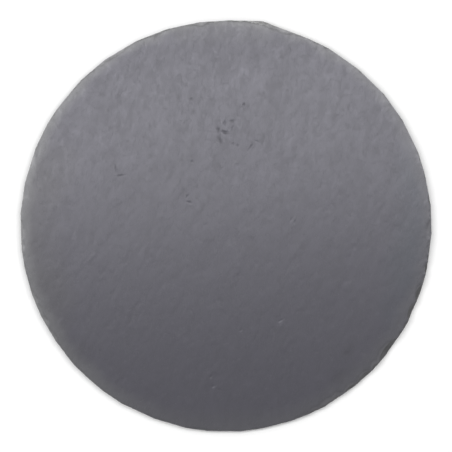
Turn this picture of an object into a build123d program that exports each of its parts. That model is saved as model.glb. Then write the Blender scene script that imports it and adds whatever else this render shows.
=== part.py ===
from build123d import *
import math
import os
import random

# A round serving plate of natural slate on four self-adhesive anti-slip feet.
# Millimetres. The origin lies on the table under the middle of the plate, and +Z is up.

# Slate plate
plate_radius = 150.0
plate_thickness = 5.5

# Feet
foot_count = 4
foot_diameter = 12.0
foot_circle_radius = 110.0
first_foot_angle = 45.0
pad_height = 2.0
pad_edge_radius = 0.4
adhesive_thickness = 0.2
adhesive_diameter = 11.4

# Rim, trimmed round in short straight strokes. Angles run anticlockwise from +X.
stroke_angle_range = (5.0, 10.5)
stroke_radius_error = 0.15
stroke_seed = 5
proud_corner = (26.8, 149.5)
corner_start_angle = 73.5
corner_end_angle = 89.0
hollow_depth = 0.6
hollow_angle = 66.0
hollow_spread = 18.0

# Shell-shaped flakes knocked off the upper edge of the rim
narrow_bevel = 0.9
wide_bevel = 3.4
wide_bevel_angle = -36.0
wide_bevel_spread = 24.0
bevel_variation = (0.5, 1.4)
flake_slope_range = (0.4, 0.9)
deepest_flake = 0.62 * plate_thickness
flake_roundness_range = (2.6, 8.0)
flake_spacing_range = (0.6, 0.95)
flake_seed = 11

underside_z = pad_height + adhesive_thickness
top_z = underside_z + plate_thickness


def at_angle(angle, radius):
    """The point at an angle in degrees and a distance from the plate's axis."""
    turn = math.radians(angle)
    return (radius * math.cos(turn), radius * math.sin(turn))


def nearness(angle, centre, spread):
    """1 at the centre angle, fading to 0 on both sides over about two spreads."""
    off_centre = (angle - centre + 180) % 360 - 180
    return math.exp(-((off_centre / spread) ** 2))


def rim_radius(angle):
    """The plate's radius: full, except in a slight hollow trimmed beside the proud corner."""
    return plate_radius - hollow_depth * nearness(angle, hollow_angle, hollow_spread)


def rim_outline():
    """The plate's outline: short straight strokes, with one corner left proud at its +Y end."""
    chance = random.Random(stroke_seed)
    trimmed_angle = corner_start_angle + 360 - corner_end_angle
    strokes = []
    while sum(strokes) < trimmed_angle:
        strokes.append(chance.uniform(*stroke_angle_range))
    stretch = trimmed_angle / sum(strokes)
    angle = corner_end_angle
    points = [proud_corner, at_angle(angle, plate_radius)]
    for stroke in strokes:
        angle += stroke * stretch
        error = chance.uniform(-stroke_radius_error, stroke_radius_error)
        points.append(at_angle(angle, rim_radius(angle) + error))
    return make_face(Polyline(*points, close=True))


def bevel_width(angle):
    """How far the flakes reach in from the rim: furthest on the +X -Y side."""
    share = nearness(angle, wide_bevel_angle, wide_bevel_spread)
    return narrow_bevel + (wide_bevel - narrow_bevel) * share


def rim_flakes():
    """Spheres that each take one flake off the upper edge, side by side all the way round.

    A flake is drawn in the radial section as the arc from a point on the top face, one width
    in from the rim, to a point on the rim, one drop below the top face. Its sphere is several
    times as large as that arc's chord, so the flake is long and shallow.
    """
    chance = random.Random(flake_seed)
    flakes = []
    angle = 0.0
    while angle < 360:
        width = bevel_width(angle) * chance.uniform(*bevel_variation)
        drop = min(width * chance.uniform(*flake_slope_range), deepest_flake)
        chord = math.hypot(width, drop)
        radius = chord * chance.uniform(*flake_roundness_range)
        reach = math.sqrt(radius**2 - (chord / 2) ** 2)
        outward = reach * drop / chord - width / 2
        upward = reach * width / chord - drop / 2
        half_length = math.sqrt(radius**2 - upward**2 - outward**2)
        half_angle = math.degrees(half_length / plate_radius)
        half_step = half_angle * chance.uniform(*flake_spacing_range)
        angle += half_step
        x, y = at_angle(angle, rim_radius(angle) + outward)
        flakes.append(Pos(x, y, top_z + upward) * Sphere(radius))
        angle += half_step
    return flakes


def slate_plate():
    slab = Pos(0, 0, underside_z) * extrude(rim_outline(), plate_thickness)
    return slab - rim_flakes()


def foot_pad():
    """A round rubber pad, standing on the table, with its lower edge rounded."""
    pad = Pos(0, 0, pad_height / 2) * Cylinder(foot_diameter / 2, pad_height)
    return fillet(pad.edges().sort_by(Axis.Z)[0], pad_edge_radius)


def foot_adhesive():
    """The adhesive disc between a pad and the underside of the plate."""
    middle_z = pad_height + adhesive_thickness / 2
    return Pos(0, 0, middle_z) * Cylinder(adhesive_diameter / 2, adhesive_thickness)


def main():
    os.makedirs("parts", exist_ok=True)
    export_step(slate_plate(), "parts/slate_plate.step")
    pad = foot_pad()
    adhesive = foot_adhesive()
    for number in range(1, foot_count + 1):
        angle = first_foot_angle + (number - 1) * 360 / foot_count
        place = Pos(*at_angle(angle, foot_circle_radius), 0)
        export_step(place * pad, f"parts/foot_pad_{number}.step")
        export_step(place * adhesive, f"parts/foot_adhesive_{number}.step")


main()
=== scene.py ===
import math

import bpy
import numpy as np
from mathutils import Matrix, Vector
from mathutils.bvhtree import BVHTree
from mathutils.geometry import delaunay_2d_cdt


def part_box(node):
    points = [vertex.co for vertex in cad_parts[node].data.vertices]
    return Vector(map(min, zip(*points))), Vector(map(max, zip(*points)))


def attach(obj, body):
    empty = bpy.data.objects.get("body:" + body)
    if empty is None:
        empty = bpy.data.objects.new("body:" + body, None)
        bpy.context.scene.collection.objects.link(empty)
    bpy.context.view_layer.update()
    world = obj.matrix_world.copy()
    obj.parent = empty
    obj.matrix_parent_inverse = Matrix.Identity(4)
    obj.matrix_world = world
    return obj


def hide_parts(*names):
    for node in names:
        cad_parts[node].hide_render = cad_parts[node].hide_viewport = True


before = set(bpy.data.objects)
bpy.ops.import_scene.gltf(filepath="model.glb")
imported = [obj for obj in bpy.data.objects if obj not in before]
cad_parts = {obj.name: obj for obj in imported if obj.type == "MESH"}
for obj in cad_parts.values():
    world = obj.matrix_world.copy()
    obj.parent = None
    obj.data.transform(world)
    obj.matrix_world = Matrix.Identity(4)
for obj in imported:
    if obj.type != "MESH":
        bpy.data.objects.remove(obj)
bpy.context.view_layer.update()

# A round slate plate on four stick-on feet. Metres, in the CAD frame: the table is z = 0,
# the plate's axis is the Z axis, and +Y is the side with the proud corner.

MM = 0.001
slab_low, slab_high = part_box("slate_plate")
UNDERSIDE = slab_low.z
TOP = slab_high.z
RADIUS = (slab_high.x - slab_low.x) / 2
FEET = (1, 2, 3, 4)

# ---------------------------------------------------------------- the slab's mesh

RIM_POINTS = 1400
FACE_SPACING = 1.25 * MM
MARK_SPACING = 0.5 * MM
UNDERSIDE_SPACING = 2.8 * MM
FACE_RINGS = ((0.6, 1), (1.2, 1), (1.9, 1), (2.7, 2), (3.6, 2), (4.6, 2))
UNDERSIDE_RINGS = ((1.0, 1), (2.6, 2))
GRAIN_TURN = 70
FACET_SIZE = 8 * MM
FACET_STRETCH = 1.8
FACET_TILT = 0.0025
LAYERS = 7
LAYER_GAP = 0.012
# Where the top layer has split off along the rim: how deep, how wide its slope is, and how
# freshly broken it looks
SPLIT_DEPTH = 0.1 * MM
SPLIT_SLOPE = 0.9 * MM
SPLIT_BROKEN = 0.3
# A pit's finer grid reaches past its ends by this share of its length and this margin, and
# two such grids stay a gap apart. Millimetres.
PIT_REACH = 0.75
PIT_MARGIN = 0.8
PIT_GAP = 0.3

# Plucked pits in the face: x, y, length, width, turn in degrees and depth, in millimetres.
PITS = (
    (-0.7, 74.8, 3.6, 2.0, 75, 0.12),
    (4.4, 76.4, 3.2, 1.8, 10, 0.10),
    (4.6, 71.2, 4.6, 1.5, 70, 0.11),
    (-5.6, 69.8, 4.6, 1.9, 98, 0.16),
    (-0.7, 68.2, 5.4, 1.8, -12, 0.15),
    (-4.4, 65.8, 2.6, 1.4, 90, 0.07),
    (-4.4, 62.2, 5.0, 2.4, 112, 0.15),
    (-5.0, 76.4, 2.2, 1.4, 60, 0.05),
    (22.9, 61.6, 4.0, 1.0, -22, 0.08),
    (26.8, 60.4, 3.6, 0.9, 62, 0.06),
    (18.9, 58.4, 2.6, 1.0, 60, 0.07),
    (17.6, 57.0, 5.4, 1.1, 62, 0.08),
    (8.6, 58.6, 1.8, 1.4, 0, 0.08),
    (5.4, 59.6, 2.4, 2.0, 20, 0.06),
    (13.0, 88.6, 1.8, 1.3, 60, 0.13),
    (11.6, 86.8, 2.2, 1.0, 60, 0.07),
    (-25.5, 92.6, 2.4, 1.2, 10, 0.07),
    (-24.8, 46.8, 1.9, 1.4, 30, 0.08),
    (-80.4, 41.4, 4.8, 1.3, 100, 0.13),
    (-77.0, 36.6, 5.6, 1.1, 8, 0.09),
    (-28.4, 21.4, 2.6, 1.3, 60, 0.10),
    (-27.0, 17.2, 3.2, 1.3, -15, 0.10),
    (47.6, 4.6, 3.4, 1.0, 62, 0.06),
    (50.2, 3.0, 3.4, 1.0, 58, 0.06),
    (-11.0, -110.0, 2.4, 1.5, 70, 0.11),
    (-9.2, -117.0, 2.2, 1.4, 20, 0.09),
    (-5.6, -119.4, 1.8, 1.2, 120, 0.07),
    (40.0, -69.0, 3.6, 1.0, 35, 0.08),
    (11.0, -76.0, 2.2, 1.1, 40, 0.06),
)
DEEP_PIT = 0.14
# Soft darker patches, where a thin film of the next layer shows: the same, with a strength.
STAINS = (
    (-31.0, 52.0, 26.0, 5.0, 66, 0.17),
    (18.0, 3.0, 7.0, 5.0, 0, 0.12),
    (38.0, 105.0, 16.0, 9.0, 20, 0.24),
    (82.0, -110.0, 14.0, 9.0, 45, 0.23),
    (89.0, -91.0, 11.0, 7.0, 60, 0.23),
    (-106.0, -91.0, 22.0, 14.0, -50, 0.17),
)


def fade(share):
    """Eases 0 to 1."""
    share = np.clip(share, 0, 1)
    return share * share * (3 - 2 * share)


def hills(x, y, length_x, length_y, seed):
    """Gradient noise, about -1 to 1, with hills of those lengths. The same for the same seed."""
    tile = 256
    turns = np.random.default_rng(seed).uniform(0, 2 * math.pi, (tile, tile))
    u = np.asarray(x) / length_x + 0.37
    v = np.asarray(y) / length_y + 0.61
    column = np.floor(u).astype(int)
    row = np.floor(v).astype(int)
    u = u - column
    v = v - row

    def pull(across, up):
        turn = turns[(column + across) % tile, (row + up) % tile]
        return np.cos(turn) * (u - across) + np.sin(turn) * (v - up)

    near = pull(0, 0) + fade(u) * (pull(1, 0) - pull(0, 0))
    far = pull(0, 1) + fade(u) * (pull(1, 1) - pull(0, 1))
    return 1.5 * (near + fade(v) * (far - near))


def fractal(x, y, length_x, length_y, seed, octaves, gain=0.5, creased=False):
    """Hills with smaller hills on them: each octave is half as long and gain times as high.

    Creased hills are folded at their middle height, which leaves sharp lines between them.
    """
    total = 0
    for octave in range(octaves):
        share = 0.5**octave
        one = hills(x, y, length_x * share, length_y * share, seed + octave)
        total = total + gain**octave * (np.abs(one) if creased else one)
    return total


def spots(x, y, places):
    """The sum of soft-edged oval spots, each as high as its last number."""
    total = np.zeros_like(x)
    for place_x, place_y, length, width, turn, strength in places:
        cos = math.cos(math.radians(turn))
        sin = math.sin(math.radians(turn))
        along = ((x - place_x * MM) * cos + (y - place_y * MM) * sin) / (length / 2 * MM)
        across = ((y - place_y * MM) * cos - (x - place_x * MM) * sin) / (width / 2 * MM)
        total += strength * np.exp(-(along**2) - across**2)
    return total


class Rim:
    """The chipped rim of the CAD slab, read by rays sent in from outside."""

    def __init__(self):
        graph = bpy.context.evaluated_depsgraph_get()
        self.surface = BVHTree.FromObject(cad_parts["slate_plate"], graph)
        self.angles = np.arange(RIM_POINTS) * 2 * math.pi / RIM_POINTS
        self.x = np.cos(self.angles)
        self.y = np.sin(self.angles)
        self.edge = self.reach(np.full(RIM_POINTS, TOP))

    def reach(self, heights):
        """How far out the slab goes at each rim point, at each point's own height."""
        skin = 0.02 * MM
        heights = np.clip(heights, UNDERSIDE + skin, TOP - skin)
        far = RADIUS + 20 * MM
        found = []
        for x, y, z in zip(self.x, self.y, heights):
            hit = self.surface.ray_cast(Vector((x * far, y * far, z)), Vector((-x, -y, 0)))[0]
            found.append(math.hypot(hit.x, hit.y))
        return np.array(found)

    def around(self, x, y, values):
        """The rim's values at the angles of the points x, y."""
        return np.interp(np.arctan2(y, x), self.angles, values, period=2 * math.pi)


def split_width(rim_x, rim_y):
    """How wide a band along the rim has lost its top layer, by place on the rim. Mostly none."""
    patches = hills(rim_x, rim_y, 31 * MM, 31 * MM, 41) + 0.12
    ragged = 0.7 + 0.5 * hills(rim_x, rim_y, 5 * MM, 5 * MM, 42)
    return 5.5 * MM * np.clip(patches, 0, 1) * ragged


def rim_band(x, y, rim):
    """The split band's width at each point's angle, and how far in from the rim each point is."""
    turn = np.arctan2(y, x)
    band = split_width(RADIUS * np.cos(turn), RADIUS * np.sin(turn))
    return band, rim.around(x, y, rim.edge) - np.hypot(x, y)


def pale_rim_width(x, y):
    """How wide the pale, neutral band along the rim is: widest on the -Y side. Where it faces the
    light, the material paints it lighter, as painted light.
    """
    return (11 + 3.5 * hills(x, y, 14 * MM, 14 * MM, 45)) * MM - 0.025 * y


def grain_axes(x, y):
    """How far each point lies along the stone's grain, and across it."""
    cos = math.cos(math.radians(GRAIN_TURN))
    sin = math.sin(math.radians(GRAIN_TURN))
    return x * cos + y * sin, y * cos - x * sin


def facets(x, y):
    """Splits the face into small irregular facets: how far each point lies above the plane of
    no tilt, in metres, and a tone from -1 to 1 that is one facet's own."""
    along, across_grain = grain_axes(x, y)
    chance = np.random.default_rng(300)
    tile = 256
    inset = chance.uniform(0.05, 0.95, (tile, tile, 2))
    tilt = chance.normal(0, FACET_TILT, (tile, tile, 2))
    tones = chance.uniform(-1, 1, (tile, tile))
    shift_u = 2.4 * MM * fractal(x, y, 9 * MM, 9 * MM, 310, 3)
    shift_v = 2.4 * MM * fractal(x, y, 9 * MM, 9 * MM, 320, 3)
    u = (along + shift_u) / (FACET_SIZE * FACET_STRETCH)
    v = (across_grain + shift_v) / (FACET_SIZE / FACET_STRETCH)
    nearest = np.full(len(u), np.inf)
    rise = np.zeros(len(u))
    tone = np.zeros(len(u))
    for across in (-1, 0, 1):
        for up in (-1, 0, 1):
            column = np.floor(u).astype(int) + across
            row = np.floor(v).astype(int) + up
            cell = (column % tile, row % tile)
            off_u = u - column - inset[cell][:, 0]
            off_v = v - row - inset[cell][:, 1]
            distance = np.hypot(off_u, off_v)
            closer = distance < nearest
            here = FACET_SIZE * (0.4 * off_u * tilt[cell][:, 0] + off_v * tilt[cell][:, 1])
            nearest = np.where(closer, distance, nearest)
            rise = np.where(closer, here, rise)
            tone = np.where(closer, tones[cell], tone)
    return rise, tone


def film_level(x, y):
    """Which of the slate's thin films lies bare: each whole number is the edge of one film."""
    along, across = grain_axes(x, y)
    return 1.6 * fractal(along, across, 75 * MM, 24 * MM, 200, 5, 0.65)


def steps_down(level):
    """How many films have come away: whole numbers, with short slopes between them."""
    whole = np.floor(level)
    return whole + fade((level - whole) * 5 - 4)


def face_depth(x, y, rim):
    """How far the riven face lies below the slab's highest plane."""
    swell = 0.08 * MM * hills(x, y, 85 * MM, 120 * MM, 1)
    along, across = grain_axes(x, y)
    ripple = 0.012 * MM * fractal(along, across, 46 * MM, 14 * MM, 100, 4)
    creases = 0.014 * MM * fractal(along, across, 34 * MM, 11 * MM, 120, 3, 0.55, creased=True)
    terraces = 0.015 * MM * steps_down(film_level(x, y))
    pits = spots(x, y, PITS) * MM

    band, inset = rim_band(x, y, rim)
    split = SPLIT_DEPTH * fade((band - inset) / SPLIT_SLOPE)
    rise, _ = facets(x, y)
    return np.maximum(0.25 * MM + swell + ripple + creases + terraces + pits + split - rise, 0)


def underside_lift(x, y):
    """How far the underside lies above the slab's lowest plane: nothing where a foot is stuck."""
    lift = 0.09 * MM * (1 + hills(x, y, 40 * MM, 60 * MM, 21))
    lift += 0.02 * MM * (1 + hills(x, y, 8 * MM, 14 * MM, 22))
    for number in FEET:
        low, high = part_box(f"foot_adhesive_{number}")
        middle = (low + high) / 2
        away = np.hypot(x - middle.x, y - middle.y) - (high.x - low.x) / 2
        lift *= fade((away - 1 * MM) / (4 * MM))
    return lift


def hexagonal(spacing, reach, centre=(0, 0)):
    """Points of a hexagonal grid, no further from the centre than reach."""
    count = int(reach / spacing) + 2
    column, row = np.meshgrid(np.arange(-count, count + 1), np.arange(-count, count + 1))
    x = (column + 0.5 * (row % 2)).ravel() * spacing
    y = row.ravel() * spacing * math.sqrt(0.75)
    inside = np.hypot(x, y) < reach
    return x[inside] + centre[0], y[inside] + centre[1]


def rings_inside(rim, edge, rings):
    """Points on rings a little in from the edge: rings holds insets in millimetres and steps."""
    x = []
    y = []
    for inset, step in rings:
        radius = (edge - inset * MM)[::step]
        x.append(radius * rim.x[::step])
        y.append(radius * rim.y[::step])
    return np.concatenate(x), np.concatenate(y)


def face_points(rim, edge):
    """The points inside the face's edge: rings near the rim, a grid, and finer grids on pits."""
    ring_x, ring_y = rings_inside(rim, edge, FACE_RINGS)
    x, y = hexagonal(FACE_SPACING, RADIUS)
    margin = FACE_RINGS[-1][0] * MM + 0.7 * FACE_SPACING
    keep = np.hypot(x, y) < rim.around(x, y, edge) - margin
    fine_x = []
    fine_y = []
    for number, (place_x, place_y, length, *_) in enumerate(PITS):
        reach = (length * PIT_REACH + PIT_MARGIN) * MM
        near_x, near_y = hexagonal(MARK_SPACING, reach, (place_x * MM, place_y * MM))
        for other_x, other_y, other_length, *_ in PITS[:number]:
            away = np.hypot(near_x - other_x * MM, near_y - other_y * MM)
            clear = away > (other_length * PIT_REACH + PIT_MARGIN + PIT_GAP) * MM
            near_x = near_x[clear]
            near_y = near_y[clear]
        fine_x.append(near_x)
        fine_y.append(near_y)
        keep &= np.hypot(x - place_x * MM, y - place_y * MM) > reach + 0.4 * FACE_SPACING
    all_x = np.concatenate([ring_x, x[keep], *fine_x])
    all_y = np.concatenate([ring_y, y[keep], *fine_y])
    return all_x, all_y


def underside_points(rim, edge):
    ring_x, ring_y = rings_inside(rim, edge, UNDERSIDE_RINGS)
    x, y = hexagonal(UNDERSIDE_SPACING, RADIUS)
    margin = UNDERSIDE_RINGS[-1][0] * MM + 0.7 * UNDERSIDE_SPACING
    keep = np.hypot(x, y) < rim.around(x, y, edge) - margin
    return np.concatenate([ring_x, x[keep]]), np.concatenate([ring_y, y[keep]])


def triangles(edge_x, edge_y, inner_x, inner_y):
    """Triangles over a closed outline and the points inside it, facing up."""
    x = np.concatenate([edge_x, inner_x])
    y = np.concatenate([edge_y, inner_y])
    points = [Vector(p) for p in np.column_stack([x, y])]
    outline = list(range(len(edge_x)))
    made, _, faces, _, _, _ = delaunay_2d_cdt(points, [], [outline], 1, 1e-7)
    if len(made) != len(points):
        raise ValueError("two points of the slab's mesh fell on each other")
    return x, y, np.array(faces)


def wall_rows():
    """Each row of the rim's wall, from the top down: its share of the height, and its layer."""
    chance = np.random.default_rng(8)
    thickness = chance.uniform(0.6, 1.4, LAYERS)
    tops = 1 - np.concatenate([[0], np.cumsum(thickness)]) / thickness.sum()
    rows = []
    for layer in range(LAYERS):
        rows.append((tops[layer] - LAYER_GAP, layer))
        rows.append((tops[layer + 1] + LAYER_GAP, layer))
    return rows


def slate_slab():
    """The slab as one closed mesh: riven face, layered chipped wall and underside."""
    rim = Rim()
    rim_x = RADIUS * rim.x
    rim_y = RADIUS * rim.y
    nibble = 0.15 * MM * np.clip(hills(rim_x, rim_y, 2.8 * MM, 2.8 * MM, 31), 0, 1)

    # The face's edge
    depth = face_depth(rim.edge * rim.x, rim.edge * rim.y, rim)
    edge = rim.reach(TOP - depth) - nibble
    x, y, faces = triangles(edge * rim.x, edge * rim.y, *face_points(rim, edge))
    z = TOP - face_depth(x, y, rim)
    face_count = len(x)
    edge_height = z[:RIM_POINTS]

    # The underside's edge
    worn = 0.25 * MM + 0.5 * MM * np.clip(hills(rim_x, rim_y, 4 * MM, 4 * MM, 32), 0, 1)
    base = rim.reach(np.full(RIM_POINTS, UNDERSIDE)) - worn
    under_x, under_y, under_faces = triangles(
        base * rim.x, base * rim.y, *underside_points(rim, base)
    )
    under_z = UNDERSIDE + underside_lift(under_x, under_y)

    # The wall between them, one thin layer of the stone above another
    wall_x = []
    wall_y = []
    wall_z = []
    for share, layer in wall_rows():
        height = UNDERSIDE + (edge_height - UNDERSIDE) * share
        broken_back = np.clip(hills(rim_x, rim_y, 8 * MM, 8 * MM, 50 + layer), 0, 1)
        fine = np.clip(hills(rim_x, rim_y, 2 * MM, 2 * MM, 70 + layer), 0, 1)
        back = (0.4 * broken_back + 0.2 * fine + 0.25 * (1 - share)) * MM
        radius = rim.reach(height) - back * (1 - share**3) - nibble * share**3
        wall_x.append(radius * rim.x)
        wall_y.append(radius * rim.y)
        wall_z.append(height)

    rows = len(wall_x)
    vertices = np.column_stack([
        np.concatenate([x, *wall_x, under_x]),
        np.concatenate([y, *wall_y, under_y]),
        np.concatenate([z, *wall_z, under_z]),
    ])
    wall_start = face_count
    under_start = face_count + rows * RIM_POINTS
    ring_starts = [0, *(wall_start + row * RIM_POINTS for row in range(rows)), under_start]
    here = np.arange(RIM_POINTS)
    after = (here + 1) % RIM_POINTS
    quads = []
    for upper, lower in zip(ring_starts, ring_starts[1:]):
        quads.append(np.column_stack([upper + here, lower + here, lower + after, upper + after]))

    mesh = bpy.data.meshes.new("slate_slab")
    polygons = faces.tolist()
    polygons += np.concatenate(quads).tolist()
    polygons += (under_faces[:, ::-1] + under_start).tolist()
    mesh.from_pydata(vertices.tolist(), [], polygons)
    mesh.shade_smooth()
    mesh.set_sharp_from_angle(angle=math.radians(20))

    # For the material, at each point: how broken, pitted and stained the stone is, how deep into
    # the pale rim band it lies, which film lies bare, and the tone of its facet
    band, inset = rim_band(x, y, rim)
    broken = np.ones(len(vertices))
    broken[:face_count] = SPLIT_BROKEN * fade((band - inset) / SPLIT_SLOPE)
    broken[under_start:] = 0
    film = np.zeros(len(vertices))
    film[:face_count] = film_level(x, y)
    facet = np.zeros(len(vertices))
    facet[:face_count] = facets(x, y)[1]
    # The pale rim band, which the material paints lighter on the side facing the light
    pale_rim = np.ones(len(vertices))
    pale_rim[:face_count] = fade(1 - inset / pale_rim_width(x, y))
    pale_rim[under_start:] = 0
    pitted = np.zeros(len(vertices))
    pitted[:face_count] = spots(x, y, PITS) / DEEP_PIT
    stained = np.zeros(len(vertices))
    stained[:face_count] = spots(x, y, STAINS)
    facts = {
        "broken": broken,
        "pale_rim": pale_rim,
        "film": film,
        "facet": facet,
        "pitted": pitted,
        "stained": stained,
    }
    for name, values in facts.items():
        layer = mesh.attributes.new(name, "FLOAT", "POINT")
        layer.data.foreach_set("value", values.astype(np.float32))

    slab = bpy.data.objects.new("slate_slab", mesh)
    bpy.context.scene.collection.objects.link(slab)
    return slab


# ---------------------------------------------------------------- the feet


def turned(name, profile, centre, steps, waver=0.0):
    """A piece turned about the vertical through centre. profile holds radius and height."""
    vertices = []
    faces = []
    for radius, height in profile[1:-1]:
        for step in range(steps):
            angle = 2 * math.pi * step / steps
            swing = 1 + waver * math.sin(3 * angle + 1) + waver / 2 * math.sin(7 * angle)
            x = centre.x + radius * swing * math.cos(angle)
            y = centre.y + radius * swing * math.sin(angle)
            vertices.append((x, y, height))
    rings = len(profile) - 2
    for ring in range(rings - 1):
        for step in range(steps):
            here = ring * steps + step
            after = ring * steps + (step + 1) % steps
            faces.append((here, after, after + steps, here + steps))
    vertices.append((centre.x, centre.y, profile[0][1]))
    vertices.append((centre.x, centre.y, profile[-1][1]))
    bottom = len(vertices) - 2
    top = len(vertices) - 1
    last = (rings - 1) * steps
    for step in range(steps):
        after = (step + 1) % steps
        faces.append((bottom, after, step))
        faces.append((top, last + step, last + after))
    mesh = bpy.data.meshes.new(name)
    mesh.from_pydata(vertices, [], faces)
    mesh.shade_smooth()
    mesh.set_sharp_from_angle(angle=math.radians(40))
    piece = bpy.data.objects.new(name, mesh)
    bpy.context.scene.collection.objects.link(piece)
    return piece


def corner(radius, height, size, start, steps=5):
    """Points of a quarter round, from start degrees on, about a centre one size in."""
    points = []
    for step in range(steps + 1):
        angle = math.radians(start + 90 * step / steps)
        points.append((radius + size * math.cos(angle), height + size * math.sin(angle)))
    return points


def rubber_pad(number):
    """A moulded rubber pad: ribbed rings underneath, rounded edges and slightly bulged sides."""
    low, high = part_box(f"foot_pad_{number}")
    radius = (high.x - low.x) / 2
    rib = 0.12 * MM
    profile = [(0, low.z)]
    for ring in range(1, 5):
        at = radius * (0.12 + 0.17 * ring)
        profile.append((at - 0.45 * MM, low.z))
        profile.append((at - 0.25 * MM, low.z + rib))
        profile.append((at + 0.25 * MM, low.z + rib))
        profile.append((at + 0.45 * MM, low.z))
    round_low = 0.4 * MM
    round_high = 0.25 * MM
    bulge = 0.08 * MM
    middle = (low.z + high.z) / 2
    profile += corner(radius - bulge - round_low, low.z + round_low, round_low, -90)
    profile.append((radius, middle))
    profile += corner(radius - bulge - round_high, high.z - round_high, round_high, 0)
    profile.append((0, high.z))
    return turned(f"rubber_pad_{number}", profile, (low + high) / 2, 72)


def adhesive_disc(number):
    """The thin disc of adhesive, squeezed out a little unevenly."""
    low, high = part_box(f"foot_adhesive_{number}")
    radius = (high.x - low.x) / 2 * 0.985
    half = (high.z - low.z) / 2
    middle = (low.z + high.z) / 2
    profile = [(0, low.z), (radius - half, low.z), (radius - 0.3 * half, middle - 0.7 * half)]
    profile += [(radius, middle), (radius - 0.3 * half, middle + 0.7 * half)]
    profile += [(radius - half, high.z), (0, high.z)]
    return turned(f"adhesive_disc_{number}", profile, (low + high) / 2, 72, waver=0.006)


# ---------------------------------------------------------------- materials


class Nodes:
    """A material's node tree, with short ways to add what the materials here need."""

    def __init__(self, name):
        self.material = bpy.data.materials.new(name)
        self.material.use_nodes = True
        self.tree = self.material.node_tree
        self.shader = self.tree.nodes["Principled BSDF"]
        self.coordinates = self.tree.nodes.new("ShaderNodeTexCoord")

    def join(self, source, target):
        """Joins a node's first output, or an output, or a plain value, to an input."""
        if isinstance(source, (int, float, tuple)):
            target.default_value = source
        elif isinstance(source, bpy.types.Node):
            self.tree.links.new(source.outputs[0], target)
        else:
            self.tree.links.new(source, target)

    def place(self, stretch=(1, 1, 1), turn=0):
        """Coordinates in which a pattern comes out turned about Z and that many times as long."""
        node = self.tree.nodes.new("ShaderNodeMapping")
        node.vector_type = "TEXTURE"
        node.inputs["Rotation"].default_value = (0, 0, math.radians(turn))
        node.inputs["Scale"].default_value = stretch
        self.tree.links.new(self.coordinates.outputs["Object"], node.inputs["Vector"])
        return node

    def noise(self, size, stretch=(1, 1, 1), detail=2.0, turn=0, rough=0.5):
        """Noise from 0 to 1 with patches of that size in metres."""
        node = self.tree.nodes.new("ShaderNodeTexNoise")
        node.inputs["Scale"].default_value = 1 / size
        node.inputs["Detail"].default_value = detail
        node.inputs["Roughness"].default_value = rough
        self.join(self.place(stretch, turn), node.inputs["Vector"])
        return node

    def creases(self, size, width, length, stretch, turn):
        """Short thin lines: 1 on a line, 0 elsewhere. Noise folded at its middle, in patches."""
        fold = self.math("SUBTRACT", self.noise(size, stretch, 1, turn), 0.5)
        line = self.span(self.math("ABSOLUTE", fold), 0, width, 1, 0)
        patches = self.span(self.noise(length, stretch, 2, turn), 0.48, 0.58)
        return self.math("MULTIPLY", line, patches)

    def cells(self, size):
        node = self.tree.nodes.new("ShaderNodeTexVoronoi")
        node.inputs["Scale"].default_value = 1 / size
        self.join(self.place(), node.inputs["Vector"])
        return node

    def axis(self, letter):
        """How far along the X, Y or Z axis."""
        node = self.tree.nodes.new("ShaderNodeSeparateXYZ")
        self.tree.links.new(self.coordinates.outputs["Object"], node.inputs[0])
        return node.outputs[letter]

    def attribute(self, name):
        node = self.tree.nodes.new("ShaderNodeAttribute")
        node.attribute_name = name
        return node.outputs["Fac"]

    def math(self, operation, first, second=0.0, third=0.0):
        node = self.tree.nodes.new("ShaderNodeMath")
        node.operation = operation
        self.join(first, node.inputs[0])
        self.join(second, node.inputs[1])
        self.join(third, node.inputs[2])
        return node

    def span(self, value, low, high, to_low=0.0, to_high=1.0):
        """value from low to high becomes to_low to to_high, held at both ends."""
        node = self.tree.nodes.new("ShaderNodeMapRange")
        self.join(value, node.inputs["Value"])
        node.inputs["From Min"].default_value = low
        node.inputs["From Max"].default_value = high
        node.inputs["To Min"].default_value = to_low
        node.inputs["To Max"].default_value = to_high
        return node

    def mix(self, share, first, second, blend="MIX"):
        node = self.tree.nodes.new("ShaderNodeMix")
        node.data_type = "RGBA"
        node.blend_type = blend
        self.join(share, node.inputs["Factor"])
        self.join(first, node.inputs[6])
        self.join(second, node.inputs[7])
        return node.outputs[2]

    def grey(self, value):
        """A grey colour as bright as the value."""
        node = self.tree.nodes.new("ShaderNodeCombineColor")
        for channel in node.inputs:
            self.join(value, channel)
        return node

    def bump(self, height, distance):
        node = self.tree.nodes.new("ShaderNodeBump")
        node.inputs["Distance"].default_value = distance
        self.join(height, node.inputs["Height"])
        self.tree.links.new(node.outputs["Normal"], self.shader.inputs["Normal"])
        return node


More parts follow.
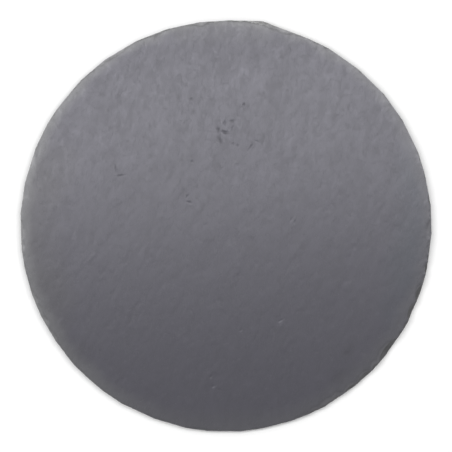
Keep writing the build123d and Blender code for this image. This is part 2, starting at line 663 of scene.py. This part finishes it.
def slate_material():
    """Dark blue-grey slate: thin films one under another, creases, ridges, fine grain and pits."""
    nodes = Nodes("slate")
    ragged = nodes.math("MULTIPLY_ADD", nodes.noise(5 * MM, detail=5, rough=0.6), 1.6, -0.8)
    level = nodes.math("ADD", nodes.attribute("film"), ragged)
    film = nodes.math("FLOOR", level)
    slope = nodes.span(nodes.math("SUBTRACT", level, film), 0.85, 1.0)
    own = nodes.span(nodes.math("FRACT", nodes.math("MULTIPLY", film, 0.618)), 0, 1, -1, 1)
    drawn = (1.4, 0.85, 1)
    broad = nodes.span(nodes.noise(12 * MM, drawn, 3, GRAIN_TURN, 0.6), 0.46, 0.54, -1, 1)
    small = nodes.span(nodes.noise(4.5 * MM, drawn, 2, GRAIN_TURN, 0.6), 0.45, 0.55, -1, 1)
    grain = nodes.span(nodes.noise(1.3 * MM, drawn, 2, GRAIN_TURN), 0.2, 0.8, -2, 2)
    crease = nodes.creases(7 * MM, 0.045, 6 * MM, drawn, GRAIN_TURN)
    ridge = nodes.creases(8 * MM, 0.04, 7 * MM, drawn, GRAIN_TURN + 8)
    tone = nodes.math("MULTIPLY", nodes.attribute("facet"), 0.6)
    weights = ((own, 0.45), (broad, 0.5), (small, 0.8), (grain, 0.3), (crease, -3.0), (ridge, 3.0))
    for part, weight in weights:
        tone = nodes.math("MULTIPLY_ADD", part, weight, tone)
    # The pattern is fainter towards -Y
    contrast = nodes.span(nodes.axis("Y"), -60 * MM, 80 * MM, 0.45, 1.0)
    tone = nodes.math("MULTIPLY", tone, contrast)

    shade = nodes.math("MULTIPLY_ADD", tone, 0.104, 1.0)
    # Painted shade: the colour darkens with each pit's depth
    shade = nodes.math("MULTIPLY_ADD", nodes.attribute("pitted"), -0.19, shade)
    clean = nodes.math("SUBTRACT", 1.0, nodes.attribute("stained"))
    shade = nodes.math("MULTIPLY", shade, clean)

    # Blue-grey, neutral near the rim at the left and greener near it at the right
    across = nodes.math("MULTIPLY_ADD", nodes.noise(45 * MM, detail=3), 60 * MM, nodes.axis("X"))
    stone = nodes.mix(nodes.span(across, -80 * MM, -120 * MM),
                      (0.0300, 0.0292, 0.0382, 1), (0.0300, 0.0292, 0.0297, 1))
    stone = nodes.mix(nodes.span(across, 145 * MM, 170 * MM), stone, (0.0259, 0.0294, 0.0373, 1))
    # Painted light: a share that runs from the side turned away from the softbox to the +Y, -X
    # side facing it, and paints the rim band and the broken rim lighter there
    left = nodes.math("MULTIPLY", nodes.axis("X"), -0.6)
    back_left = nodes.math("MULTIPLY_ADD", nodes.axis("Y"), 0.8, left)
    painted_lit_side = nodes.span(back_left, -90 * MM, 130 * MM)
    # The rim band's colour: a little lighter than the stone on the side turned away from the
    # light, and far lighter, as painted light, on the side facing it
    pale_rim_with_painted_light = nodes.mix(painted_lit_side, (0.0395, 0.0395, 0.0445, 1), (0.0960, 0.0975, 0.0945, 1))
    stone = nodes.mix(nodes.attribute("pale_rim"), stone, pale_rim_with_painted_light)
    stone = nodes.mix(1.0, stone, nodes.grey(shade), "MULTIPLY")

    # Freshly broken rim: a duller, neutral grey, with the layers showing as level lines. Both
    # layer greys also hold painted light: lighter on the side facing the softbox, darker on the
    # side turned away
    lines = nodes.noise(0.45 * MM, (17, 17, 1), 2)
    dark = nodes.mix(painted_lit_side, (0.048, 0.048, 0.049, 1), (0.16, 0.16, 0.158, 1))
    light = nodes.mix(painted_lit_side, (0.076, 0.076, 0.077, 1), (0.31, 0.31, 0.307, 1))
    layered = nodes.mix(nodes.span(lines, 0.35, 0.65), dark, light)
    chipped = nodes.mix(1.0, layered, nodes.grey(shade), "MULTIPLY")
    broken = nodes.attribute("broken")
    colour = nodes.mix(broken, stone, chipped)
    nodes.join(colour, nodes.shader.inputs["Base Color"])

    gloss = nodes.math("MULTIPLY_ADD", tone, -0.010, 0.269)
    gloss = nodes.math("MULTIPLY_ADD", nodes.math("POWER", broken, 3), 0.3, gloss)
    gloss = nodes.math("MULTIPLY_ADD", nodes.attribute("pitted"), 0.09, gloss)
    nodes.join(gloss, nodes.shader.inputs["Roughness"])
    nodes.shader.inputs["IOR"].default_value = 1.46
    nodes.shader.inputs["Specular Tint"].default_value = (0.936, 0.926, 1.0, 1)

    height = nodes.math("MULTIPLY_ADD", slope, -0.5, nodes.math("MULTIPLY", grain, 0.03))
    height = nodes.math("MULTIPLY_ADD", small, 0.1, height)
    height = nodes.math("MULTIPLY_ADD", broad, 0.1, height)
    height = nodes.math("MULTIPLY_ADD", crease, -0.4, height)
    height = nodes.math("MULTIPLY_ADD", nodes.math("MULTIPLY", lines, broken), 3.0, height)
    nodes.bump(height, 0.014 * MM)
    return nodes.material


def rubber_material():
    """Matt black moulded rubber, a little dusty."""
    nodes = Nodes("foot_rubber")
    dust = nodes.span(nodes.noise(3 * MM, (1, 1, 1), 4), 0.45, 0.75)
    colour = nodes.mix(dust, (0.022, 0.022, 0.024, 1), (0.055, 0.053, 0.05, 1))
    nodes.join(colour, nodes.shader.inputs["Base Color"])
    gloss = nodes.span(nodes.noise(0.8 * MM), 0.3, 0.7, 0.62, 0.8)
    nodes.join(gloss, nodes.shader.inputs["Roughness"])
    nodes.bump(nodes.noise(0.35 * MM, detail=2), 0.02 * MM)
    return nodes.material


def adhesive_material():
    """Milky acrylic adhesive with tiny trapped bubbles."""
    nodes = Nodes("adhesive")
    bubbles = nodes.span(nodes.cells(0.9 * MM).outputs["Distance"], 0.15, 0.3)
    colour = nodes.mix(bubbles, (0.88, 0.87, 0.83, 1), (0.74, 0.72, 0.65, 1))
    nodes.join(colour, nodes.shader.inputs["Base Color"])
    gloss = nodes.span(nodes.noise(2 * MM), 0.3, 0.7, 0.25, 0.4)
    nodes.join(gloss, nodes.shader.inputs["Roughness"])
    nodes.bump(bubbles, 0.01 * MM)
    return nodes.material


def floor_material():
    nodes = Nodes("floor")
    tone = nodes.span(nodes.noise(0.4, detail=2), 0.3, 0.7, 0.82, 0.835)
    nodes.join(nodes.grey(tone), nodes.shader.inputs["Base Color"])
    nodes.shader.inputs["Roughness"].default_value = 0.9
    return nodes.material


# ---------------------------------------------------------------- the scene

SOFTBOX_PLACE = (-0.172, 0.181, 1.5)
SOFTBOX_TURN = 5.7
SOFTBOX_WIDTH = 2.197
SOFTBOX_DEPTH = 0.331
SOFTBOX_POWER = 18.2
VIEW_MARGIN = 1.0993
CEILING = 1.15
HORIZON = 0.59
WALLS = 0.45
# The room's light at each sine of the elevation: the floor's own tone at the horizon, walls
# that are dim where they meet the ceiling, and a bright ceiling.
ROOM = (
    (0.01, HORIZON),
    (0.10, HORIZON),
    (0.20, WALLS),
    (0.48, WALLS),
    (0.60, 0.2),
    (0.66, 0.2),
    (0.80, CEILING),
    (0.99, CEILING),
)


def floor():
    size = 12.0
    mesh = bpy.data.meshes.new("floor")
    corners = [(-size, -size, 0), (size, -size, 0), (size, size, 0), (-size, size, 0)]
    mesh.from_pydata(corners, [], [(0, 1, 2, 3)])
    mesh.materials.append(floor_material())
    plane = bpy.data.objects.new("floor", mesh)
    bpy.context.scene.collection.objects.link(plane)


def softbox(name, place, turn, width, depth, power):
    """A level rectangular light that shines straight down."""
    light = bpy.data.lights.new(name, "AREA")
    light.shape = "RECTANGLE"
    light.size = width
    light.size_y = depth
    light.energy = power
    box = bpy.data.objects.new(name, light)
    box.location = place
    box.rotation_euler.z = math.radians(turn)
    box.visible_camera = False
    bpy.context.scene.collection.objects.link(box)


def studio():
    """A long soft light overhead, off the plate's axis towards -X +Y, in a pale room."""
    softbox("softbox", SOFTBOX_PLACE, SOFTBOX_TURN, SOFTBOX_WIDTH, SOFTBOX_DEPTH, SOFTBOX_POWER)
    room()


def room():
    """A pale room lit mostly from its ceiling: its brightness by the sine of the elevation."""
    world = bpy.data.worlds.new("room")
    world.use_nodes = True
    tree = world.node_tree
    background = tree.nodes["Background"]
    background.inputs["Strength"].default_value = CEILING
    direction = tree.nodes.new("ShaderNodeTexCoord")
    split = tree.nodes.new("ShaderNodeSeparateXYZ")
    ramp = tree.nodes.new("ShaderNodeValToRGB")
    stops = ramp.color_ramp.elements
    for sine, light in ROOM:
        stop = stops.new(sine)
        stop.color = (light / CEILING, light / CEILING, light / CEILING, 1)
    stops.remove(stops[0])
    stops.remove(stops[-1])
    tree.links.new(direction.outputs["Generated"], split.inputs[0])
    tree.links.new(split.outputs["Z"], ramp.inputs["Fac"])
    tree.links.new(ramp.outputs["Color"], background.inputs["Color"])
    bpy.context.scene.world = world


def camera():
    """Straight above the plate, with +Y up in the picture."""
    lens = bpy.data.cameras.new("camera")
    lens.lens = 200
    lens.sensor_width = 36
    half_view = RADIUS * VIEW_MARGIN
    eye = bpy.data.objects.new("camera", lens)
    eye.location = (0, 0, TOP + half_view / (lens.sensor_width / 2 / lens.lens))
    eye.rotation_euler = (0, 0, 0)
    bpy.context.scene.collection.objects.link(eye)
    bpy.context.scene.camera = eye


def finished(piece, node, material):
    """Puts a piece in the place of its CAD node."""
    piece.data.materials.append(material)
    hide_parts(node)
    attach(piece, "root")


camera()
floor()
studio()
finished(slate_slab(), "slate_plate", slate_material())
rubber = rubber_material()
adhesive = adhesive_material()
for number in FEET:
    finished(rubber_pad(number), f"foot_pad_{number}", rubber)
    finished(adhesive_disc(number), f"foot_adhesive_{number}", adhesive)

bpy.context.scene.view_settings.view_transform = "Standard"
